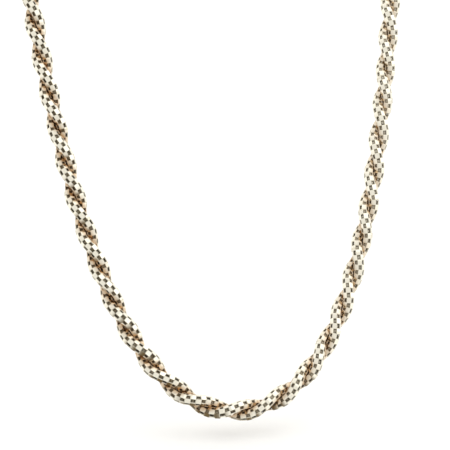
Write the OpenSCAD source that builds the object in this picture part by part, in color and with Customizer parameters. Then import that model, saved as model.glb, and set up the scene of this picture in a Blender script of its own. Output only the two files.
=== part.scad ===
// Necklace of two round chain strands twisted into one left-handed rope, closed round the neck.
// The loop is drawn flat first: a hanging front curve, two long side arcs and a half circle for the
// nape. It is then bent backwards over the shoulders, which keeps its length. Millimetres, +Z up,
// -Y towards the viewer, and the origin at the nape in the middle of the clasp.

/* [Loop] */
// Length of the whole closed loop with its clasp
chain_l = 457; // [440:1:500]
// Width between the two sides at the top of the front drape
drape_w = 92.3; // [84:0.1:100]
// Height of the front drape, measured up its own slope
drape_h = 105; // [95:1:120]
// Width scale of the bottom curve, where a small value gives a narrow tip
drape_k = 15.56; // [14:0.01:20]

/* [Lean] */
// Lean of the front drape back from upright, in degrees
front_lean = 24; // [10:1:35]
// Lean of the stretch round the nape back from upright, in degrees
nape_lean = 65; // [55:1:80]
// Radius of the bend over the shoulders
shoulder_r = 75; // [50:1:80]

/* [Rope] */
// Width across one strand
strand_d = 2.45; // [2:0.05:2.45]
// Distance from the rope's middle to a strand's middle
helix_r = 1.28; // [1.28:0.01:1.5]
// Length of one full turn of the twist
twist_pitch = 17.87; // [14:0.01:24]
// Place where the strands lie side by side, from the lowest point towards +X
twist_start = 1.89; // [-4:0.01:4]

/* [End caps] */
// Length of a cup from its dome to its mouth
cap_l = 8; // [7:0.5:12]
// Outside width of a cup
cap_d = 6.2; // [6.2:0.1:7.5]
// Thickness of a cup's wall
cap_wall = 0.4; // [0.3:0.05:0.45]
// Width of the bead round a cup's mouth
bead_d = 0.7; // [0.5:0.05:0.9]
// Thickness of the wire of the eye on a cup
eye_wire = 0.9; // [0.7:0.05:1]
// Radius of the eye at the middle of its wire
eye_r = 1.9; // [1.8:0.05:2.2]

/* [Clasp] */
// Thickness of the clasp's ring
ring_wire = 1.2; // [1:0.05:1.4]
// Radius of the clasp's ring at the middle of its wire
ring_r = 2.8; // [2.6:0.05:4]
// Thickness of the wire of the clasp's small ring
tail_wire = 0.9; // [0.7:0.05:1]
// Radius of the clasp's small ring at the middle of its wire
tail_r = 1.6; // [1.5:0.05:2]
// Width of the thumb stub on the ring
stub_d = 0.8; // [0.6:0.05:1]
// Gap along the chain between wires that are hooked through each other
play = 0.25; // [0.22:0.01:0.4]

/* [Hidden] */
$fn = 48;
silver = [0.82, 0.81, 0.77];
half_turn = 180;
full_turn = 360;
rad = half_turn / PI;

// Sides of a strand's tube and its rings in one turn of the twist
tube_sides = 8;
rings_per_turn = 18;
side_angle = full_turn / tube_sides;
// Half the length over which a tangent is measured
tangent_reach = 0.2;

function sinh(x) = (exp(x) - exp(-x)) / 2;
function cosh(x) = (exp(x) + exp(-x)) / 2;
function asinh(x) = ln(x + sqrt(x * x + 1));
function unit(v) = v / norm(v);
function lean_dir(a) = [sin(a), cos(a)];
function flip_x(v) = [-v[0], v[1], v[2]];

// Front drape, drawn flat with its lowest point at 0, 0: a stretched hanging curve
drape_steps = 240;
half_w = drape_w / 2;
drape_a = drape_h / (cosh(half_w / drape_k) - 1);
drape = [for (i = [0:drape_steps])
    let (x = drape_k * asinh(i / drape_steps * sinh(half_w / drape_k)))
    [x, drape_a * (cosh(x / drape_k) - 1)]];
drape_run = [for (i = 0, run = 0; i <= drape_steps;
    i = i + 1, run = i <= drape_steps ? run + norm(drape[i] - drape[i - 1]) : run) run];
drape_l = drape_run[drape_steps];
drape_x = [for (i = [0:drape_steps]) [drape_run[i], drape[i][0]]];
drape_y = [for (i = [0:drape_steps]) [drape_run[i], drape[i][1]]];

// Side arc from the drape's end to the widest place, and the nape's half circle after it.
// The loop's whole length sets how long and so how flat the side arc is.
top_angle = atan(drape_k / (drape_a * sinh(half_w / drape_k)));
hidden_l = chain_l / 2 - drape_l;
quarter = PI / 2;
side_r = (hidden_l - quarter * half_w) / (top_angle / rad + quarter * (1 - cos(top_angle)));
side_l = side_r * top_angle / rad;
side_mid = [half_w - side_r * cos(top_angle), drape_h + side_r * sin(top_angle)];
nape_r = side_mid[0] + side_r;
nape_y = side_mid[1] + nape_r;

// Point of the flat loop at a length from the lowest point
function flat(s) =
    s < drape_l ? [lookup(s, drape_x), lookup(s, drape_y)]
    : s < drape_l + side_l
        ? let (a = (s - drape_l) / side_r * rad - top_angle) side_mid + side_r * [cos(a), sin(a)]
        : let (a = (s - drape_l - side_l) / nape_r * rad) [0, side_mid[1]] + nape_r * [cos(a), sin(a)];

// Depth and height of a point of the flat loop once it is bent over the shoulders
bend_l = shoulder_r * (nape_lean - front_lean) / rad;
bend_end = drape_h * lean_dir(front_lean)
    + shoulder_r * [cos(front_lean) - cos(nape_lean), sin(nape_lean) - sin(front_lean)];
function bent(y) =
    y < drape_h ? y * lean_dir(front_lean)
    : y < drape_h + bend_l
        ? let (a = front_lean + (y - drape_h) / shoulder_r * rad)
            drape_h * lean_dir(front_lean)
            + shoulder_r * [cos(front_lean) - cos(a), sin(a) - sin(front_lean)]
        : bend_end + (y - drape_h - bend_l) * lean_dir(nape_lean);

// Middle of the rope at a length from the lowest point, positive towards +X
function route(s) =
    s < 0 ? flip_x(route(-s))
    : let (f = flat(s), b = bent(f[1]) - bent(nape_y)) [f[0], b[0], b[1]];

// Cap and clasp places. Each cap's axis touches the nape's half circle where the rope is seated in
// it, and runs from there to the place where its eye hooks the clasp.
cap_r = cap_d / 2;
seat_depth = (cap_r + cap_l) / 2;
rope_gap = 0.3;
eye_sink = 0.25;
eye_mid = eye_sink - eye_r;
seat_to_hook = seat_depth + eye_r - eye_mid;
ring_hook = ring_r - (ring_wire + eye_wire) / 2 - play;
tail_sink = 0.3;
tail_mid = -(ring_r + tail_r + tail_sink);
tail_hook = tail_mid - tail_r + (tail_wire + eye_wire) / 2 + play;
hook_x = (ring_hook - tail_hook) / 2;
ring_x = hook_x - ring_hook;
seat_angle = asin(hook_x / norm([nape_r, seat_to_hook])) + atan(seat_to_hook / nape_r);
hook_out = seat_to_hook * sin(seat_angle) - nape_r * (1 - cos(seat_angle));

// Length of rope on each side of the lowest point, which ends inside the cup
rope_half = chain_l / 2 - nape_r * seat_angle / rad + seat_depth - cap_r - rope_gap;
half_rings = round(rope_half / twist_pitch * rings_per_turn);
ring_step = rope_half / half_rings;

// Middle, direction and carried normal of the rope on its +X half
half_mid = [for (i = [0:half_rings]) route(i * ring_step)];
half_dir = [for (i = [0:half_rings])
    unit(route(i * ring_step + tangent_reach) - route(i * ring_step - tangent_reach))];
front_normal = [0, -cos(front_lean), sin(front_lean)];
half_normal = [for (i = 0, v = front_normal; i <= half_rings; i = i + 1,
    v = i <= half_rings ? unit(v - (v * half_dir[i]) * half_dir[i]) : v) v];

// The same for a ring on either half
function mid(i) = i < 0 ? flip_x(half_mid[-i]) : half_mid[i];
function dir(i) = i < 0 ? -flip_x(half_dir[-i]) : half_dir[i];
function normal(i) = i < 0 ? flip_x(half_normal[-i]) : half_normal[i];

// Corners of one ring of a strand that lies at a phase round the rope
turn_rate = -2 * PI / twist_pitch;
function strand_ring(i, phase) =
    let (
        a = phase - (i * ring_step - twist_start) / twist_pitch * full_turn,
        inward = cross(normal(i), dir(i)),
        out = cos(a) * inward + sin(a) * normal(i),
        round = cos(a) * normal(i) - sin(a) * inward,
        along = unit(dir(i) + helix_r * turn_rate * round),
        across = cross(along, out)
    )
    [for (k = [0:tube_sides - 1])
        let (c = (k + 0.5) * side_angle)
        mid(i) + helix_r * out + strand_d / 2 * (cos(c) * out + sin(c) * across)];

// One strand as a closed tube
module strand(phase) {
    rings = [for (i = [-half_rings:half_rings]) strand_ring(i, phase)];
    last = len(rings) - 1;
    skin = [for (i = [0:last - 1], k = [0:tube_sides - 1])
        let (n = (k + 1) % tube_sides)
        [i * tube_sides + k, (i + 1) * tube_sides + k, (i + 1) * tube_sides + n, i * tube_sides + n]];
    first_end = [for (k = [0:tube_sides - 1]) k];
    last_end = [for (k = [0:tube_sides - 1]) last * tube_sides + tube_sides - 1 - k];
    polyhedron([for (ring = rings, corner = ring) corner], concat(skin, [first_end, last_end]));
}

// Ring of round wire that lies flat
module wire_ring(r, wire) {
    rotate_extrude() translate([r, 0]) circle(d = wire);
}

// Frame of the nape: x along the chain, y out of the neck, z up along the neck
module at_nape() {
    rotate([90 - nape_lean, 0, 0]) children();
}

// Thimble inside or outside, from its dome at x = cap_r - r to its mouth
module thimble(r, l) {
    translate([cap_r, 0, 0]) {
        sphere(r);
        rotate([0, 90, 0]) cylinder(h = l - cap_r, r = r);
    }
}

// Cup with a beaded mouth and an eye soldered to its dome, along +X from the dome
module end_cap() {
    bead_x = cap_l - bead_d / 2;
    difference() {
        union() {
            thimble(cap_r, cap_l - bead_d / 2);
            translate([bead_x, 0, 0]) rotate([0, 90, 0]) wire_ring(cap_r - cap_wall / 2, bead_d);
            translate([eye_mid, 0, 0]) wire_ring(eye_r, eye_wire);
        }
        thimble(cap_r - cap_wall, cap_l + bead_d);
    }
}

// Places a cap on the +X side of the nape
module on_side() {
    at_nape()
        translate([0, -nape_r, 0]) rotate([0, 0, -seat_angle]) translate([-seat_depth, nape_r, 0])
            children();
}

module strand_a() {
    color(silver) strand(0);
}

module strand_b() {
    color(silver) strand(half_turn);
}

module end_cap_left() {
    color(silver) mirror([1, 0, 0]) on_side() end_cap();
}

module end_cap_right() {
    color(silver) on_side() end_cap();
}

// Ring clasp with a small ring soldered to it and a thumb stub on its rim
module clasp() {
    stub_l = ring_wire;
    stub_angle = 60;
    color(silver) at_nape() translate([ring_x, hook_out, 0]) rotate([90, 0, 0]) {
        wire_ring(ring_r, ring_wire);
        translate([tail_mid, 0, 0]) wire_ring(tail_r, tail_wire);
        rotate([0, 0, stub_angle]) translate([ring_r, 0, 0])
            rotate([0, 90, 0]) cylinder(h = stub_l, d = stub_d);
    }
}

strand_a();
strand_b();
end_cap_left();
end_cap_right();
clasp();
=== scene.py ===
# Twisted double box chain necklace in its worn form.
# Each strand is a round chain of square links, and the strands are laid into a left-handed rope.
import bisect
import math
import random

import bmesh
import bpy
from mathutils import Euler, Matrix, Vector


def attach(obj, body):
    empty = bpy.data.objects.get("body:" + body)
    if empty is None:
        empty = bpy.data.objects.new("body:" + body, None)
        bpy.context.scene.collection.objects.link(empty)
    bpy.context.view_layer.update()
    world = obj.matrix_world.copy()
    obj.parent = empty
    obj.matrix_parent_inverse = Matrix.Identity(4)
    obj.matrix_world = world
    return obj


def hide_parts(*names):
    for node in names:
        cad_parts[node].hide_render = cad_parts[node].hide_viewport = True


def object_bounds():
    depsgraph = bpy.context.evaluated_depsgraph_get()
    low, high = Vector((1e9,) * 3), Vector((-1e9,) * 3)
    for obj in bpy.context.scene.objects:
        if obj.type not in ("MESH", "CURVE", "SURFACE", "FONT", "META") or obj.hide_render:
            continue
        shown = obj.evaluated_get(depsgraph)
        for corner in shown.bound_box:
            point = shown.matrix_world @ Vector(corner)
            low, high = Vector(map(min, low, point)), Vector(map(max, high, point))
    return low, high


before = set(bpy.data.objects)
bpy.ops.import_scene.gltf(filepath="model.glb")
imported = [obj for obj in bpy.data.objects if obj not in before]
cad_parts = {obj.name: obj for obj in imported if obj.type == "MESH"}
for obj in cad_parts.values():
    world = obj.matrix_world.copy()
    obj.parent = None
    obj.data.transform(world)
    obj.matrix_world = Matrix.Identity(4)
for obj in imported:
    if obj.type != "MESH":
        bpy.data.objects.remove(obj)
cadBox = [list(corner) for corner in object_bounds()]
print("frame loaded")

mm = 0.001
scene = bpy.context.scene


# Small helpers

# sRGB hex to the linear colour that the nodes take
def hexColour(text):
    parts = [int(text[i:i + 2], 16) / 255 for i in (1, 3, 5)]
    return [p / 12.92 if p <= 0.04045 else ((p + 0.055) / 1.055) ** 2.4 for p in parts] + [1]


def addNode(tree, kind, settings, inputs):
    made = tree.nodes.new(kind)
    for name, value in settings.items():
        setattr(made, name, value)
    for name, value in inputs.items():
        if isinstance(value, bpy.types.NodeSocket):
            tree.links.new(value, made.inputs[name])
        else:
            made.inputs[name].default_value = value
    return made


def newTree(name):
    material = bpy.data.materials.new(name)
    material.use_nodes = True
    material.node_tree.nodes.clear()
    return material, material.node_tree


def addObject(name, mesh, *materials):
    made = bpy.data.objects.new(name, mesh)
    scene.collection.objects.link(made)
    for material in materials:
        mesh.materials.append(material)
    return made


def smoothStep(low, high, value):
    t = min(max((value - low) / (high - low), 0), 1)
    return t * t * (3 - 2 * t)


# Route of the rope's middle: a flat loop of its real length, bent back over the shoulders

loopSizes = {  # mm and degrees, as the CAD source has them
    "chainLength": 457,
    "drapeWidth": 92.3,
    "drapeHeight": 105,
    "drapeScale": 15.56,
    "frontLean": 24,
    "napeLean": 65,
    "shoulderRadius": 75,
    "ropeHalf": 218.39,  # rope on each side of the lowest point, up to inside the end cup
    "pointSpacing": 0.25,
    "drapeSteps": 900,  # points on each stretch of the flat half loop
    "sideSteps": 200,
    "napeSteps": 400,
}


# Points of the +X half of the flat loop, from its lowest point to the nape
def flatHalf(sizes):
    half, scale, height = sizes["drapeWidth"] / 2, sizes["drapeScale"], sizes["drapeHeight"]
    lift = height / (math.cosh(half / scale) - 1)
    drapeSteps, sideSteps, napeSteps = sizes["drapeSteps"], sizes["sideSteps"], sizes["napeSteps"]
    points = []
    for i in range(drapeSteps + 1):
        x = scale * math.asinh(i / drapeSteps * math.sinh(half / scale))
        points.append(Vector((x, lift * (math.cosh(x / scale) - 1))))
    run = sum((b - a).length for a, b in zip(points, points[1:]))
    topAngle = math.atan(scale / (lift * math.sinh(half / scale)))
    hidden = sizes["chainLength"] / 2 - run
    sideRadius = (hidden - math.pi / 2 * half) / (topAngle + math.pi / 2 * (1 - math.cos(topAngle)))
    sideMid = Vector((half - sideRadius * math.cos(topAngle), height + sideRadius * math.sin(topAngle)))
    napeRadius = sideMid.x + sideRadius
    for i in range(1, sideSteps + 1):
        angle = topAngle * (i / sideSteps - 1)
        points.append(sideMid + sideRadius * Vector((math.cos(angle), math.sin(angle))))
    for i in range(1, napeSteps + 1):
        angle = math.pi / 2 * i / napeSteps
        points.append(Vector((0, sideMid.y)) + napeRadius * Vector((math.cos(angle), math.sin(angle))))
    return points


# Depth and height of a flat point that is y up the loop
def bendBack(y, sizes):
    front, nape = math.radians(sizes["frontLean"]), math.radians(sizes["napeLean"])
    radius, height = sizes["shoulderRadius"], sizes["drapeHeight"]
    lean = Vector((math.sin(front), math.cos(front)))
    if y < height:
        return y * lean
    angle = min(front + (y - height) / radius, nape)
    arc = radius * Vector((math.cos(front) - math.cos(angle), math.sin(angle) - math.sin(front)))
    straight = max(y - height - radius * (nape - front), 0)
    return height * lean + arc + straight * Vector((math.sin(nape), math.cos(nape)))


# Points at an even spacing along a line of points
def evenPoints(points, spacing, length):
    runs = [0]
    for a, b in zip(points, points[1:]):
        runs.append(runs[-1] + (b - a).length)
    made = []
    for i in range(int(length / spacing) + 1):
        k = min(max(bisect.bisect_right(runs, i * spacing), 1), len(points) - 1)
        t = (i * spacing - runs[k - 1]) / (runs[k] - runs[k - 1])
        made.append(points[k - 1].lerp(points[k], t))
    return made


# Middle, direction and carried normal of the rope, evenly spaced from the -X end to the +X end
def ropeFrames(sizes):
    flat = flatHalf(sizes)
    nape = bendBack(flat[-1].y, sizes)
    spatial = []
    for point in flat:
        depth, height = bendBack(point.y, sizes) - nape
        spatial.append(Vector((point.x, depth, height)))
    middles = evenPoints(spatial, sizes["pointSpacing"], sizes["ropeHalf"] + 1)
    lean = math.radians(sizes["frontLean"])
    normal = Vector((0, -math.cos(lean), math.sin(lean)))
    half = []
    for i in range(len(middles) - 1):
        before = middles[i - 1] if i else Vector((-middles[1].x, middles[1].y, middles[1].z))
        direction = (middles[i + 1] - before).normalized()
        normal = (normal - normal.dot(direction) * direction).normalized()
        half.append((middles[i], direction, normal.copy()))
    mirrored = []
    for middle, direction, normal in reversed(half[1:]):
        mirrored.append((
            Vector((-middle.x, middle.y, middle.z)),
            Vector((direction.x, -direction.y, -direction.z)),
            Vector((-normal.x, normal.y, normal.z)),
        ))
    return mirrored + half, len(mirrored)


ropePoints, lowestIndex = ropeFrames(loopSizes)
lowestPoint = ropePoints[lowestIndex][0] * mm
print("route worked out,", len(ropePoints), "points")


# Camera at the photo's angle: a little to the left of the front and above the loop

cameraView = {
    "azimuth": -8.5,  # degrees round from the front, negative to the left
    "elevation": 15,  # degrees above the horizon
    "distance": 350,  # mm from the camera's plane to the loop's lowest point
    "pixelsPerRadian": 1445.5,
    "lowestPixel": (239.2, 410.6),  # where the loop's lowest point lies in the photo
    "imageSize": 450,  # pixels
    "sensorWidth": 36,  # mm
}


def addCamera(view):
    data = bpy.data.cameras.new("camera")
    data.sensor_width = view["sensorWidth"]
    data.lens = view["pixelsPerRadian"] / view["imageSize"] * data.sensor_width
    data.clip_start, data.clip_end = 0.01, 20
    made = bpy.data.objects.new("camera", data)
    scene.collection.objects.link(made)
    side, up = math.radians(view["azimuth"]), math.radians(view["elevation"])
    forward = Vector((-math.sin(side) * math.cos(up), math.cos(side) * math.cos(up), -math.sin(up)))
    right = Vector((math.cos(side), math.sin(side), 0))
    above = right.cross(forward)
    perPixel = view["distance"] * mm / view["pixelsPerRadian"]
    across = (view["lowestPixel"][0] - view["imageSize"] / 2) * perPixel
    below = (view["lowestPixel"][1] - view["imageSize"] / 2) * perPixel
    place = lowestPoint - forward * view["distance"] * mm - right * across + above * below
    made.matrix_world = Matrix.Translation(place) @ Matrix((right, above, -forward)).transposed().to_4x4()
    scene.camera = made


addCamera(cameraView)
print("camera placed")


# Silver

silverLook = {
    "bright": "#F6F0DE",  # sterling silver, warmer than white
    "tarnish": "#70654F",  # olive grey sulphide film in the recesses
    "brownShadeAndStain": "#C8AC90",  # painted brown shade where the strands lie against each other; on the cups and clasp, the colour of real brown stains
    "polish": 0.14,
    "dull": 0.45,
    "paintedLightSide": (1, 0, 0.2),  # side of the loop painted lighter by thinning the film, as the light from that side makes it
    "paintedLightReach": 40,  # mm on each side of the middle over which the painted lightening grows
    # share of the film left on the side that is painted lighter
    "paintedLightShare": 0.5,
    "patchSize": 0.6,  # mm, stains that the film makes
    "patchFilm": (0.75, 1.15),  # share of the film in its thin and thick patches
    "scratchSize": 0.06,  # mm, polishing marks, drawn about twice as coarse as real ones to show
    "scratchDepth": 0.01,  # mm
    "cornerReach": 1.2,  # mm from a corner that the polishing wheel doesn't reach
    "cornerOpen": (0.8, 0.4),  # openness of a corner where its film starts and where it is full
    "stainFilm": (0.02, 0.22),  # film on the open faces of cups and clasp, clean and stained
    "stainBrown": 0.1,
}


# Sterling silver, rolled or cast and then polished. Gives the eye soft bright mirrors on the open faces,
# an olive grey matt film where polishing doesn't reach, a painted brown shade in the grooves between the
# strands, and the loop's +X side painted lighter, as the light from that side makes it.
def sterlingSilver(name, look, worn):
    material, tree = newTree(name)
    place = addNode(tree, "ShaderNodeTexCoord", {}, {}).outputs["Object"]
    patches = addNode(tree, "ShaderNodeTexNoise", {}, {
        "Vector": place, "Scale": 1 / (look["patchSize"] * mm), "Detail": 3.0, "Roughness": 0.6})
    fine = addNode(tree, "ShaderNodeTexNoise", {}, {
        "Vector": place, "Scale": 1 / (look["scratchSize"] * mm), "Detail": 2.0, "Roughness": 0.5})
    spread = addNode(tree, "ShaderNodeMapRange", {}, {
        "Value": patches.outputs["Fac"], "From Min": 0.3, "From Max": 0.7,
        "To Min": look["patchFilm"][0], "To Max": look["patchFilm"][1]})
    if worn:
        recess = addNode(tree, "ShaderNodeAttribute", {"attribute_name": "recess"}, {}).outputs["Fac"]
        # links: painted brown shade between the strands, stored on each corner
        brownShadeAndStain = addNode(tree, "ShaderNodeAttribute", {"attribute_name": "brownShadeAndStain"}, {}).outputs["Fac"]
    else:
        stains = addNode(tree, "ShaderNodeMapRange", {}, {
            "Value": patches.outputs["Fac"], "From Min": 0.45, "From Max": 0.75,
            "To Min": look["stainFilm"][0], "To Max": look["stainFilm"][1]})
        openness = addNode(tree, "ShaderNodeAmbientOcclusion", {"samples": 16}, {
            "Distance": look["cornerReach"] * mm})
        corners = addNode(tree, "ShaderNodeMapRange", {}, {
            "Value": openness.outputs["AO"],
            "From Min": look["cornerOpen"][0], "From Max": look["cornerOpen"][1],
            "To Min": 0.0, "To Max": 1.0})
        recess = addNode(tree, "ShaderNodeMath", {"operation": "MAXIMUM"}, {
            0: stains.outputs["Result"], 1: corners.outputs["Result"]}).outputs[0]
        # cups and clasp: real brown stains in random patches
        brownShadeAndStain = addNode(tree, "ShaderNodeMapRange", {}, {
            "Value": patches.outputs["Fac"], "From Min": 0.6, "From Max": 0.9,
            "To Min": 0.0, "To Max": look["stainBrown"]}).outputs["Result"]
    # painted light: the film thins towards the +X side of the loop, lightening that side as the light
    # from there makes it
    towards = addNode(tree, "ShaderNodeVectorMath", {"operation": "DOT_PRODUCT"}, {
        0: place, 1: Vector(look["paintedLightSide"]).normalized()})
    paintedLightFilm = addNode(tree, "ShaderNodeMapRange", {}, {
        "Value": towards.outputs["Value"],
        "From Min": -look["paintedLightReach"] * mm, "From Max": look["paintedLightReach"] * mm,
        "To Min": 1.0, "To Max": look["paintedLightShare"]})
    amount = addNode(tree, "ShaderNodeMath", {"operation": "MULTIPLY"}, {
        0: spread.outputs["Result"], 1: paintedLightFilm.outputs["Result"]})
    film = addNode(tree, "ShaderNodeMath", {"operation": "MULTIPLY", "use_clamp": True}, {
        0: recess, 1: amount.outputs[0]})
    # painted brown shade between the strands on the links, real brown stains on the cups and clasp
    brownShadeAndStainShare = addNode(tree, "ShaderNodeMath", {"operation": "MULTIPLY", "use_clamp": True}, {
        0: brownShadeAndStain, 1: amount.outputs[0]})
    filmed = addNode(tree, "ShaderNodeMix", {"data_type": "RGBA"}, {
        "Factor": film.outputs[0], 6: hexColour(look["bright"]), 7: hexColour(look["tarnish"])})
    warmed = addNode(tree, "ShaderNodeMix", {"data_type": "RGBA", "blend_type": "MULTIPLY"}, {
        "Factor": brownShadeAndStainShare.outputs[0], 6: filmed.outputs[2], 7: hexColour(look["brownShadeAndStain"])})
    dullness = addNode(tree, "ShaderNodeMapRange", {}, {
        "Value": film.outputs[0], "To Min": look["polish"], "To Max": look["dull"]})
    bump = addNode(tree, "ShaderNodeBump", {}, {
        "Height": fine.outputs["Fac"], "Strength": 0.25, "Distance": look["scratchDepth"] * mm})
    shader = addNode(tree, "ShaderNodeBsdfPrincipled", {}, {
        "Base Color": warmed.outputs[2], "Metallic": 1.0, "Roughness": dullness.outputs["Result"],
        "Normal": bump.outputs["Normal"]})
    addNode(tree, "ShaderNodeOutputMaterial", {}, {"Surface": shader.outputs["BSDF"]})
    return material


linkSilver = sterlingSilver("link sterling silver", silverLook, True)
plainSilver = sterlingSilver("polished sterling silver", silverLook, False)
print("silver mixed")


# Links and strands

linkSizes = {  # mm
    "width": 2.54,  # across two facing plates
    "length": 1.70,
    "band": 1.15,
    "thickness": 0.25,
    "bend": 0.26,
    "webWidth": 1.76,  # across two facing webs, which close the gaps between the plates
    "webLength": 0.60,
    "spacing": 1.15,
    "slack": 2.5,  # degrees that a link may lie off true
    "sharpEdge": 60,  # degrees from which an edge shows as a crisp line
}

strandSizes = {
    "helixRadius": 1.17,  # mm from the rope's middle to a strand's middle
    "pitch": 17.87,  # mm of rope for one turn
    "start": 1.89,  # mm from the lowest point to where the strands lie side by side
    "ownTurn": -45,  # degrees that a strand turns on itself in one turn of the rope
    "pressedReach": 0.12,  # mm from the plane between the strands that gives way
    "pressedGap": 0.005,  # mm that a strand keeps from that plane
    "filmStart": 0.10,  # mm below the plates' faces where the dark film starts
    "filmFull": 0.32,
    "grooveShadeFull": 0.7,  # mm from the other strand up to which the painted brown shade is full
    "grooveShadeEnd": 2.0,
}


# One link: two square bands crossed at right angles, cut from a folded cross-shaped box,
# with a recessed web between each two plates
def makeLink(sizes):
    bm = bmesh.new()
    bmesh.ops.create_cube(bm, size=1)
    bmesh.ops.scale(bm, vec=(sizes["width"], sizes["width"], sizes["length"]), verts=bm.verts)
    half = sizes["band"] / 2
    for direction in (Vector((1, 0, 0)), Vector((0, 1, 0))):
        for side in (-1, 1):
            bmesh.ops.bisect_plane(
                bm, geom=bm.verts[:] + bm.edges[:] + bm.faces[:],
                plane_co=direction * half * side, plane_no=direction)
    corners = []
    for face in bm.faces:
        centre = face.calc_center_median()
        if abs(centre.x) > half and abs(centre.y) > half:
            corners.append(face)
    bmesh.ops.delete(bm, geom=corners, context="FACES")
    bends = []
    almostHalf = 0.49  # of the link's length or width: an edge past it lies on the link's end or side
    for edge in bm.edges:
        middle = (edge.verts[0].co + edge.verts[1].co) / 2
        atEnd = abs(middle.z) > almostHalf * sizes["length"]
        atSide = max(abs(middle.x), abs(middle.y)) > almostHalf * sizes["width"]
        if len(edge.link_faces) == 2 and atEnd and atSide:
            bends.append(edge)
    bmesh.ops.bevel(
        bm, geom=bends, offset=sizes["bend"], affect="EDGES", segments=1, profile=0.5, material=-1)
    reach = sizes["webWidth"] / math.sqrt(2)  # from the link's middle to a corner between two webs
    rise = sizes["webLength"] / 2
    low, high = [], []
    for x, y in ((reach, 0), (0, reach), (-reach, 0), (0, -reach)):
        low.append(bm.verts.new((x, y, -rise)))
        high.append(bm.verts.new((x, y, rise)))
    for i in range(4):
        bm.faces.new((low[i - 1], low[i], high[i], high[i - 1]))
    bmesh.ops.recalc_face_normals(bm, faces=bm.faces)
    bmesh.ops.solidify(bm, geom=bm.faces[:], thickness=sizes["thickness"])
    bmesh.ops.recalc_face_normals(bm, faces=bm.faces)
    for face in bm.faces:
        face.smooth = True
    for edge in bm.edges:
        edge.smooth = edge.calc_face_angle(0) < math.radians(sizes["sharpEdge"])
    made = bpy.data.meshes.new("link")
    bm.to_mesh(made)
    bm.free()
    return made


# Direction from the rope's middle to one strand
def helixSide(phase, run, inward, normal, sizes):
    angle = phase - (run - sizes["start"]) / sizes["pitch"] * 2 * math.pi
    return math.cos(angle) * inward + math.sin(angle) * normal


# Middle of one strand at each point of the rope
def strandLine(phase, sizes):
    line = []
    for i, (middle, direction, normal) in enumerate(ropePoints):
        run = (i - lowestIndex) * loopSizes["pointSpacing"]
        outward = helixSide(phase, run, normal.cross(direction), normal, sizes)
        line.append(middle + sizes["helixRadius"] * outward)
    return line


# Where each link sits along a strand, each turned 45 degrees to the last one
def linkPlaces(line, sizes, spacing):
    length = sum((b - a).length for a, b in zip(line, line[1:]))
    points = evenPoints(line, spacing, length)
    turnPerLink = math.radians(sizes["ownTurn"]) * spacing / math.hypot(
        sizes["pitch"], 2 * math.pi * sizes["helixRadius"])
    upright = Vector((0, 0, 1))
    chance = random.Random(int(1000 * line[0].x))
    slack = math.radians(linkSizes["slack"])
    places = []
    for i in range(1, len(points) - 1):
        along = (points[i + 1] - points[i - 1]).normalized()
        upright = (upright - upright.dot(along) * along).normalized()
        turn = turnPerLink * i + math.pi / 4 * (i % 2)
        first = Matrix.Rotation(turn, 3, along) @ upright
        axes = Matrix((first, along.cross(first), along)).transposed().to_4x4()
        tilt = Euler([chance.uniform(-slack, slack) for axis in range(3)]).to_matrix().to_4x4()
        places.append(Matrix.Translation(points[i]) @ axes @ tilt)
    return places


def makeStrand(name, phase, link):
    line = strandLine(phase, strandSizes)
    places = linkPlaces(line, strandSizes, linkSizes["spacing"])
    bm = bmesh.new()
    for place in places:
        copy = link.copy()
        copy.transform(place)
        bm.from_mesh(copy)
        bpy.data.meshes.remove(copy)
    mesh = bpy.data.meshes.new(name)
    bm.to_mesh(mesh)
    bm.free()
    shapeStrand(mesh, places, link, phase, strandSizes)
    made = addObject(name, mesh, linkSilver)
    made.modifiers.new("flat plates", "WEIGHTED_NORMAL").keep_sharp = True
    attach(made, "root")
    print(name, "made of", len(places), "links and", len(mesh.polygons), "faces")
    return made


# Presses a strand flat where it lies against the other one. Also stores how deep each corner lies in its
# own strand, and how near it is to the other strand, which sets the painted brown shade between the
# strands.
def shapeStrand(mesh, places, link, phase, sizes):
    corners, recess, brownShadeAndStain = [], [], []
    half, radius = linkSizes["width"] / 2, sizes["helixRadius"]
    deepest = radius - math.hypot(half, linkSizes["band"] / 2)
    free, gap = sizes["pressedReach"], sizes["pressedGap"]
    nearest = 0
    for place in places:
        centre = place.translation
        while nearest < len(ropePoints) - 1 and (
                (ropePoints[nearest + 1][0] - centre).length <= (ropePoints[nearest][0] - centre).length):
            nearest += 1
        middle, direction, normal = ropePoints[nearest]
        inward = normal.cross(direction)
        run = (nearest - lowestIndex) * loopSizes["pointSpacing"]
        for corner in link.vertices:
            spot = place @ corner.co - middle
            along = spot.dot(direction)
            outward = helixSide(phase, run + along, inward, normal, sizes)
            off = spot.dot(outward)
            if off < free:
                spot += (gap + (off - deepest) * (free - gap) / (free - deepest) - off) * outward
            corners.extend((middle + spot) * mm)
            depth = half - max(abs(corner.co.x), abs(corner.co.y))
            onWeb = abs(corner.co.z) < 0.51 * linkSizes["webLength"]  # the webs' corners lie at 0.50
            recess.append(1 if onWeb else smoothStep(sizes["filmStart"], sizes["filmFull"], depth))
            # painted brown shade, fullest near the other strand and fading further away
            away = (spot - along * direction + radius * outward).length - half
            brownShadeAndStain.append(1 - smoothStep(sizes["grooveShadeFull"], sizes["grooveShadeEnd"], away))
    mesh.vertices.foreach_set("co", corners)
    mesh.attributes.new("recess", "FLOAT", "POINT").data.foreach_set("value", recess)
    mesh.attributes.new("brownShadeAndStain", "FLOAT", "POINT").data.foreach_set("value", brownShadeAndStain)


link = makeLink(linkSizes)
print("link has", len(link.polygons), "faces")
strandA = makeStrand("chain_strand_a", 0, link)
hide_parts("strand_a")
strandB = makeStrand("chain_strand_b", math.pi, link)
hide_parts("strand_b")


# End cups and clasp keep their CAD shape

for name in ("end_cap_left", "end_cap_right", "clasp"):
    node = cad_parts[name]
    node.data.materials.clear()
    node.data.materials.append(plainSilver)
print("findings finished")


# Floor, lights and surroundings

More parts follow.
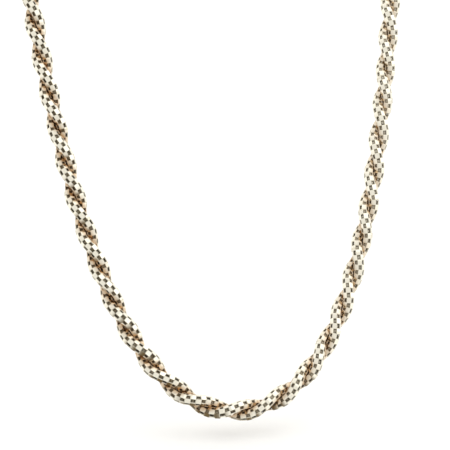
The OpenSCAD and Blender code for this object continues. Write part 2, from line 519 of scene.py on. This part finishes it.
studio = {
    "floorDrop": 3.6,  # mm below the lowest link
    "floorSize": 8.0,  # m
    "floorColour": "#FDFCF9",
    "grainSize": 0.8,  # mm, stipple of a paint roller
    "grainDepth": 0.02,  # mm
    "windowSide": (0.7, -0.2, 0.68),  # direction that the window light comes from
    "windowPower": 0.5,
    "windowAngle": 90,  # degrees across
    "backLevel": 1.15,  # brightness of the white behind the chain
    "frontLevel": 0.92,  # and of the white towards frontSide
    "frontSide": (-0.43, -0.86, 0.25),
    "frontSpread": (-0.2, 0.9),  # likeness to frontSide where that level starts and is full
    "benchSide": (-0.25, -0.20, -0.95),  # direction of the unlit wooden bench below
    "benchSpread": (0.5, 0.95),  # likeness to benchSide where it starts and is full
    "benchColour": "#6E6049",
}


# Board with rolled matt white paint. Gives the eye an even white without gloss.
def whiteBoard(name, look):
    material, tree = newTree(name)
    place = addNode(tree, "ShaderNodeTexCoord", {}, {}).outputs["Object"]
    grain = addNode(tree, "ShaderNodeTexNoise", {}, {
        "Vector": place, "Scale": 1 / (look["grainSize"] * mm), "Detail": 2.0})
    bump = addNode(tree, "ShaderNodeBump", {}, {
        "Height": grain.outputs["Fac"], "Strength": 0.05, "Distance": look["grainDepth"] * mm})
    shader = addNode(tree, "ShaderNodeBsdfPrincipled", {}, {
        "Base Color": hexColour(look["floorColour"]), "Roughness": 0.8, "Normal": bump.outputs["Normal"]})
    addNode(tree, "ShaderNodeOutputMaterial", {}, {"Surface": shader.outputs["BSDF"]})
    return material


def addFloor(look):
    bm = bmesh.new()
    bmesh.ops.create_grid(bm, x_segments=1, y_segments=1, size=look["floorSize"] / 2)
    height = cadBox[0][2] - look["floorDrop"] * mm
    bmesh.ops.translate(bm, vec=(0, 0, height), verts=bm.verts)
    mesh = bpy.data.meshes.new("floor")
    bm.to_mesh(mesh)
    bm.free()
    made = addObject("floor", mesh, whiteBoard("matt white board", look))
    made.visible_glossy = False  # the metal mirrors the room below instead of the board


# Soft window light, the same all over the floor
def addWindow(look):
    data = bpy.data.lights.new("window", "SUN")
    data.energy = look["windowPower"]
    data.angle = math.radians(look["windowAngle"])
    made = bpy.data.objects.new("window", data)
    scene.collection.objects.link(made)
    turn = Vector(look["windowSide"]).to_track_quat("Z", "Y").to_matrix().to_4x4()
    made.matrix_world = turn


# Surroundings that the metal mirrors: white all round, a little dimmer in front, with a brown bench below
def addWorld(look):
    world = bpy.data.worlds.new("studio")
    world.use_nodes = True
    tree = world.node_tree
    tree.nodes.clear()
    around = addNode(tree, "ShaderNodeTexCoord", {}, {}).outputs["Generated"]
    toFront = addNode(tree, "ShaderNodeVectorMath", {"operation": "DOT_PRODUCT"}, {
        0: around, 1: Vector(look["frontSide"]).normalized()})
    walls = addNode(tree, "ShaderNodeMapRange", {"interpolation_type": "SMOOTHSTEP"}, {
        "Value": toFront.outputs["Value"],
        "From Min": look["frontSpread"][0], "From Max": look["frontSpread"][1],
        "To Min": look["backLevel"], "To Max": look["frontLevel"]})
    toBench = addNode(tree, "ShaderNodeVectorMath", {"operation": "DOT_PRODUCT"}, {
        0: around, 1: Vector(look["benchSide"]).normalized()})
    bench = addNode(tree, "ShaderNodeMapRange", {"interpolation_type": "SMOOTHSTEP"}, {
        "Value": toBench.outputs["Value"],
        "From Min": look["benchSpread"][0], "From Max": look["benchSpread"][1]})
    colour = addNode(tree, "ShaderNodeMix", {"data_type": "RGBA"}, {
        "Factor": bench.outputs["Result"], 6: (1, 1, 1, 1), 7: hexColour(look["benchColour"])})
    shader = addNode(tree, "ShaderNodeBackground", {}, {
        "Color": colour.outputs[2], "Strength": walls.outputs["Result"]})
    addNode(tree, "ShaderNodeOutputWorld", {}, {"Surface": shader.outputs["Background"]})
    scene.world = world


addFloor(studio)
addWorld(studio)
addWindow(studio)
scene.view_settings.view_transform = "Standard"
print("studio set")
